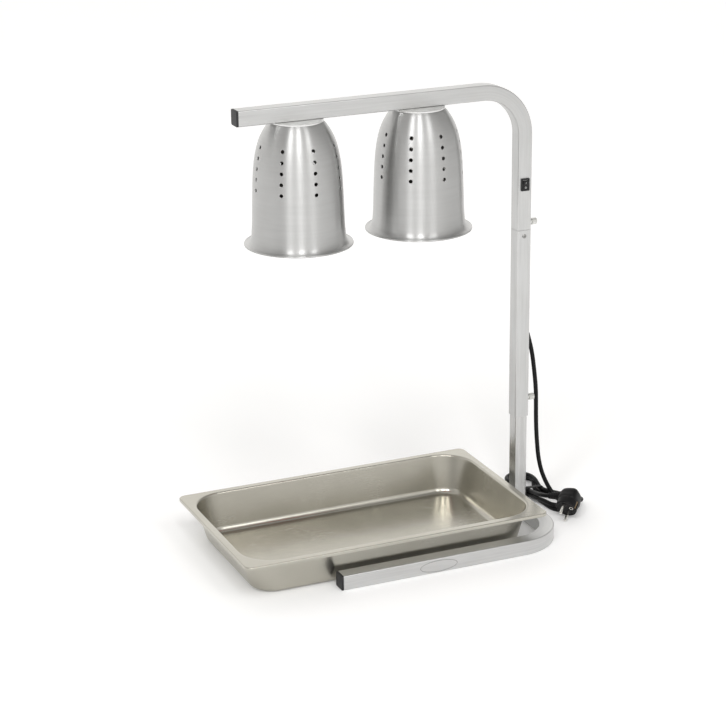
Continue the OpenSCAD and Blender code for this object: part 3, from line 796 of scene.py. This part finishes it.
mast_path = [((COL, 0, z), X, Y) for z in (MAST_LOW, 0.3, SEAM - SEAM_GAP)]
hollow_tube("mast_tube_skin", mast_path, "mast", mast_mat, "mast_tube")


# ------------------------------------------------------------------ shades, mm above their lower edge
SHADE_T = 1.2                             # sheet thickness
COLUMNS, HOLES = 8, 5                     # columns of vent holes, and holes in each
HOLE_R, HOLE_Z, HOLE_PITCH = 3.0, 94.2, 16.8
CELLS = 256                               # vertices round the wall
PATCH, PATCH_H = 6, 10.0                  # cells each way, and height, of the square round a hole

# the wall's outer face, (radius, height) from above the flange up to the flat top
BELL = [(76.9, 6.2), (75.4, 9.6), (74.6, 14), (73.9, 22), (73.2, 32), (72.4, 57), (71.3, 88), (70.3, 108),
        (69.0, 124), (67.2, 138), (64.9, 150), (62.0, 161), (58.4, 171), (54.2, 179.5), (49.6, 187),
        (45.4, 192.6), (42.6, 195.3), (40.2, 196.5)]
# from the inner wall, round the flange and its turned-down lip, to the outer wall
FLANGE = [(74.6, 5.0), (75.4, 3.2), (76.9, 1.9), (78.8, 1.35), (81.5, 1.3), (84.2, 1.25), (84.9, 0.95),
          (85.2, 0.4), (85.45, 0.05), (85.9, 0.0), (86.3, 0.15), (86.5, 0.6), (86.5, 1.6), (86.3, 2.2),
          (85.8, 2.55), (84.6, 2.6), (82.4, 2.55), (80.2, 3.1), (78.4, 4.3)]
# the flat top, in to the edge of its hole and back underneath
TOP = [(41.8, 196.35), (40.0, 196.5), (20, 196.5), (5.6, 196.5), (5.1, 196.2), (5.1, 195.5), (5.6, 195.3),
       (20, 195.3), (39.0, 195.3), (41.0, 195.1)]


def shade_rows():
    """Heights of the wall's rings of vertices, and the first ring of each hole's patch."""
    rows = [6.5, 8, 9.6, 12, 15, 19, 24, 30, 38, 47, 57, 66, 75, 83]
    patches = []
    gap = HOLE_PITCH - PATCH_H
    for k in range(HOLES):
        low = HOLE_Z + k * HOLE_PITCH - PATCH_H / 2
        patches.append(len(rows))
        rows += [low + i * PATCH_H / PATCH for i in range(PATCH + 1)]
        if k < HOLES - 1:
            rows += [low + PATCH_H + i * gap / 4 for i in range(1, 4)]
    return rows + [170, 173, 176, 179, 181.5, 184, 186, 188, 190, 192, 193.7, 195.0, 196.0], patches


def build_shade(side, lamp_x, turn):
    curve = catmull([(r, z, 0) for r, z in BELL], 0.5)
    rs, zs = np.array([q[0] for q in curve]), np.array([q[1] for q in curve])
    rows, patches = shade_rows()
    verts, faces = [], []

    def r_of(z):
        return float(np.interp(z, zs, rs))

    def polar(r, angle, z):
        a = angle + math.radians(turn)
        return (r * math.cos(a), r * math.sin(a), z)

    def point(angle, z, inner):
        """A point of the wall's outer face, or of its inner face straight behind it."""
        r = r_of(z)
        if inner:
            slope = r_of(z + 0.5) - r_of(z - 0.5)
            n = math.hypot(1, slope)
            r, z = r - SHADE_T / n, z + SHADE_T * slope / n
        return polar(r, angle, z)

    def join(a, b, flip=False):
        """Faces between two rings with as many vertices."""
        for j in range(len(a)):
            k = (j + 1) % len(a)
            q = (a[j], a[k], b[k], b[j])
            faces.append(tuple(reversed(q)) if flip else q)

    def hole(first, i0, j0, inner):
        """Rings from the edge of a square patch in to a round hole; gives the hole's edge."""
        n = range(PATCH)
        square = [(i0, j0 + b) for b in n] + [(i0 + a, j0 + PATCH) for a in n]
        square += [(i0 + PATCH, j0 + PATCH - b) for b in n] + [(i0 + PATCH - a, j0) for a in n]
        zc, jc = (rows[i0] + rows[i0 + PATCH]) / 2, j0 + PATCH // 2
        rc = r_of(zc)
        last = [first + i * CELLS + j % CELLS for i, j in square]
        for f in (0.45, 0.85, 1.0):
            cur = []
            for i, j in square:
                dx, dz = (j - jc) * 2 * math.pi / CELLS * rc, rows[i] - zc
                angle = math.atan2(dz, dx)
                qx = dx + (HOLE_R * math.cos(angle) - dx) * f
                qz = dz + (HOLE_R * math.sin(angle) - dz) * f
                cur.append(len(verts))
                verts.append(point(2 * math.pi * jc / CELLS + qx / rc, zc + qz, inner))
            join(last, cur, inner)
            last = cur
        return last

    def wall(inner):
        """One face of the sheet; gives its lowest and highest rings and the holes' edges."""
        first = len(verts)
        for z in rows:
            verts.extend(point(2 * math.pi * j / CELLS, z, inner) for j in range(CELLS))
        skip, edges = set(), []
        for h in range(COLUMNS):
            j0 = h * CELLS // COLUMNS - PATCH // 2
            for i0 in patches:
                skip |= {(i0 + a, (j0 + b) % CELLS) for a in range(PATCH) for b in range(PATCH)}
                edges.append(hole(first, i0, j0, inner))
        for i in range(len(rows) - 1):
            a, b = first + i * CELLS, first + (i + 1) * CELLS
            for j in range(CELLS):
                if (i, j) not in skip:
                    k = (j + 1) % CELLS
                    q = (a + j, a + k, b + k, b + j)
                    faces.append(tuple(reversed(q)) if inner else q)
        top = first + (len(rows) - 1) * CELLS
        return range(first, first + CELLS), range(top, top + CELLS), edges

    def sweep(last, profile, end):
        """Rings along a (radius, height) outline, between two rings that are there already."""
        for r, z in profile:
            cur = range(len(verts), len(verts) + CELLS)
            verts.extend(polar(r, 2 * math.pi * j / CELLS, z) for j in range(CELLS))
            join(last, cur)
            last = cur
        join(last, end)

    outer_low, outer_high, outer_holes = wall(False)
    inner_low, inner_high, inner_holes = wall(True)
    for a, b in zip(outer_holes, inner_holes):
        join(a, b)
    sweep(inner_low, FLANGE, outer_low)
    sweep(outer_high, TOP, inner_high)
    placed = [(x * MM + lamp_x, y * MM, z * MM + RIM_Z) for x, y, z in verts]
    ob = make(f"shade_{side}_skin", placed, faces, "arm", shade_mat)
    recalc(ob)
    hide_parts(f"shade_{side}")


for side, (lamp_x, turn) in LAMPS.items():
    build_shade(side, lamp_x, turn)


# ------------------------------------------------------------------ food pan, mm
PAN_AT = (-28, -5)                        # its centre on the table
PAN_HX, PAN_HY, PAN_R = 265, 162.5, 12    # half the rim each way, and its corner radius
CORE_HX, CORE_HY = 212.5, 109.5           # half the flat core of the floor, which the walls stand round
SPREAD = 40                               # from the core to the well's edge at the rim
DEPTH = 65.0
SHEET = 0.8
FILLET = 13                               # between the floor and the walls
CORNER = 56                               # plan radius of the inside corners at the rim


def outline(hx, hy, r, arc=14, long_run=26, short_run=14):
    """Points of a rounded rectangle, with as many in every outline."""
    signs = ((1, 1), (-1, 1), (-1, -1), (1, -1))
    ex, ey = hx - r, hy - r
    pts = []
    for q, (sx, sy) in enumerate(signs):
        for i in range(arc):
            a = math.pi / 2 * (q + i / arc)
            pts.append((sx * ex + r * math.cos(a), sy * ey + r * math.sin(a)))
        # straight run to the next corner
        nx, ny = signs[(q + 1) % 4]
        a = math.pi / 2 * (q + 1)
        x, y = sx * ex + r * math.cos(a), sy * ey + r * math.sin(a)
        n = short_run if q % 2 else long_run
        pts += [(x + (nx - sx) * ex * i / n, y + (ny - sy) * ey * i / n) for i in range(n)]
    return pts


def wall_at(d):
    """The outline a distance d outside the core."""
    return outline(CORE_HX + d, CORE_HY + d, CORNER - SPREAD + d)


def rim(inset, r):
    return outline(PAN_HX - inset, PAN_HY - inset, r)


def between(a, b, f):
    """The outline that is the part f of the way from a to b."""
    return [(p[0] + (q[0] - p[0]) * f, p[1] + (q[1] - p[1]) * f) for p, q in zip(a, b)]


def foot(sheet):
    """(distance from the core, height) along the floor's edge and up the fillet; sheet is the metal's
    thickness on the inside and 0 on the outside."""
    r = FILLET - sheet
    angles = [math.radians(-90 + 75.5 * i / 12) for i in range(13)]
    return [(3.0, sheet)] + [(r * math.cos(a) + 12.6, FILLET + r * math.sin(a)) for a in angles]


def up_wall(start, end, parts):
    """Points on the straight wall from start to end."""
    return [(start[0] + (end[0] - start[0]) * t, start[1] + (end[1] - start[1]) * t) for t in parts]


def build_pan():
    rings = []
    # inside: the floor, the wall and the small radius into the flange
    inner = foot(SHEET)
    inner += up_wall(inner[-1], (38.4, 60.6), (0.25, 0.5, 0.75, 1.0))
    inner += [(38.75, 62.2), (39.3, 63.5), (40.1, 64.4), (41.2, 64.9), (42.4, DEPTH)]
    rings += [(wall_at(d), z) for d, z in inner]
    # the flange's top, its rolled edge and its underside
    edge = inner[-1][0]
    rings += [(between(wall_at(edge), rim(1.3, 11), f), DEPTH) for f in (0.08, 0.3, 0.6, 0.9, 1.0)]
    rolled = [(0.85, 64.75), (0.3, 64.3), (0.0, 63.6), (0.0, 61.5), (0.0, 59.8), (0.25, 59.5), (0.6, 59.5),
              (0.8, 59.8), (0.8, 62.5), (1.1, 63.6), (1.6, 64.1)]
    rings += [(rim(d, PAN_R - d), z) for d, z in rolled]
    rings += [(between(wall_at(edge), rim(2.4, 10), f), DEPTH - SHEET) for f in (1.0, 0.5, 0.05)]
    # outside: down the wall and round the fillet
    outer = foot(0.0)
    turn = [(41.6, 63.9), (40.6, 63.2), (39.9, 62.0), (39.3, 60.2)]
    wall = up_wall(outer[-1], turn[-1], (0.75, 0.5, 0.25))
    rings += [(wall_at(d), z) for d, z in turn + wall + outer[::-1]]

    n = len(rings[0][0])
    verts = [((x + PAN_AT[0]) * MM, (y + PAN_AT[1]) * MM, z * MM) for pts, z in rings for x, y in pts]
    faces = grid_faces(len(rings), n) + end_caps(len(rings), n)
    ob = make("food_pan_skin", verts, faces, "pan", pan_mat)
    recalc(ob)
    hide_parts("food_pan")


build_pan()


# ------------------------------------------------------------------ blank oval on the front leg
OVAL_AT = Vector((0.0336, -BAR_Y - HALF, 0.0118))
OVAL_X, OVAL_Z = 0.033, 0.0097            # half its length and height
# the etched line's section: (mm in from the outline, m out from the leg)
OVAL_LINE = [(0.0, 0.0), (0.05, 0.00006), (0.35, 0.00009), (0.65, 0.00006), (0.7, 0.0)]


def oval_mark(n=120):
    """A thin etched oval outline with nothing in it."""
    verts = []
    for inset, out in OVAL_LINE:
        for j in range(n):
            a = 2 * math.pi * j / n
            rx, rz = OVAL_X - inset * MM, OVAL_Z - inset * MM
            verts.append(OVAL_AT + Vector((rx * math.cos(a), -out, rz * math.sin(a))))
    ob = make("leg_oval_blank", verts, grid_faces(len(OVAL_LINE), n, close_rows=True), "base", badge_mat)
    recalc(ob)


oval_mark()

# ------------------------------------------------------------------ studio
FLOOR = 90                                # half the side of the floor
SKY_STRENGTH = 1.38
LIGHT_AIM, LIGHT_DISTANCE = Vector((0, 0, 0.4)), 3.6

floor_mat = Mat("studio_floor")
cloud = floor_mat.ramp(floor_mat.noise(floor_mat.obj(), 3, 2), 0, 1)
floor_mat.set(color=floor_mat.mix(cloud, (0.93, 0.93, 0.93), (0.95, 0.95, 0.95)), rough=0.7, spec=0.2,
              glow=(1, 1, 1, 1))
# the floor glows more far out, so that it stays white where the lights fade
floor_x, floor_y = floor_mat.xyz(floor_mat.obj())[:2]
far = floor_mat.length(floor_x, floor_y)
floor_mat.set(glow_strength=floor_mat.ramp(far, 0.1, 0.3, 0.3, 1.6))
corners = [(-FLOOR, -FLOOR, 0), (FLOOR, -FLOOR, 0), (FLOOR, FLOOR, 0), (-FLOOR, FLOOR, 0)]
floor = make("studio_floor", corners, [(0, 1, 2, 3)], None, floor_mat.m, smooth=False)

world = bpy.data.worlds.new("studio")
scene.world = world
world.use_nodes = True
sky = world.node_tree


def sky_node(kind, *sockets, **settings):
    """A node of the sky with the sockets linked to its first inputs."""
    node = sky.nodes.new(kind)
    for k, v in settings.items():
        setattr(node, k, v)
    for i, sock in enumerate(sockets):
        sky.links.new(sock, node.inputs[i])
    return node


def sky_ramp(sock, stops):
    """A colour ramp of grey stops: (position, brightness)."""
    ramp = sky_node("ShaderNodeValToRGB", sock)
    for i, (at, v) in enumerate(stops):
        e = ramp.color_ramp.elements[i] if i < 2 else ramp.color_ramp.elements.new(at)
        e.position = at
        e.color = (v, v * 0.995, v * 0.985, 1)
    return ramp.outputs[0]


toward = sky_node("ShaderNodeSeparateXYZ", sky_node("ShaderNodeTexCoord").outputs["Generated"]).outputs
height = sky_ramp(toward[2], [(0.0, 1.0), (0.95, 0.62), (0.35, 0.92)])
# brightness by compass: -X is at 0 and 1, -Y at 0.25, +X at 0.5 and +Y at 0.75. The dips at 0.08 and at
# 0.52 are dark screens, which the tubes and shades reflect
compass = sky_node("ShaderNodeMath", toward[1], toward[0], operation="ARCTAN2")
unit = sky_node("ShaderNodeMapRange", compass.outputs[0])
unit.inputs["From Min"].default_value = -math.pi
unit.inputs["From Max"].default_value = math.pi
screens = sky_ramp(unit.outputs[0], [(0.0, 0.64), (1.0, 0.64), (0.08, 0.42), (0.16, 0.68), (0.24, 0.75),
                                     (0.36, 0.72), (0.44, 0.45), (0.52, 0.34), (0.60, 0.72), (0.68, 1.0),
                                     (0.78, 0.86)])
both = sky_node("ShaderNodeMix", data_type="RGBA", blend_type="MULTIPLY")
both.inputs[0].default_value = 1.0
sky.links.new(height, both.inputs[6])
sky.links.new(screens, both.inputs[7])
background = sky.nodes["Background"]
sky.links.new(both.outputs[2], background.inputs[0])
background.inputs[1].default_value = SKY_STRENGTH


def softbox(name, turn, up_angle, wide, tall, power):
    """A strip light aimed at the object, turn degrees from the camera's side."""
    a, h = math.radians(VIEW_AZ + turn), math.radians(up_angle)
    away = Vector((math.sin(a) * math.cos(h), -math.cos(a) * math.cos(h), math.sin(h)))
    at = LIGHT_AIM + away * LIGHT_DISTANCE
    light = bpy.data.lights.new(name, "AREA")
    light.shape = "RECTANGLE"
    light.size, light.size_y = wide, tall
    light.energy = power
    ob = bpy.data.objects.new(name, light)
    scene.collection.objects.link(ob)
    ob.location = at
    ob.rotation_mode = "QUATERNION"
    ob.rotation_quaternion = (LIGHT_AIM - at).to_track_quat("-Z", "Y")


softbox("strip_left", -24, 46, 0.55, 1.8, 25)
softbox("strip_middle", 6, 46, 0.5, 1.8, 27)
softbox("strip_right", 40, 42, 0.6, 1.6, 14)

scene.view_settings.view_transform = "Standard"
scene.view_settings.exposure = 0.0
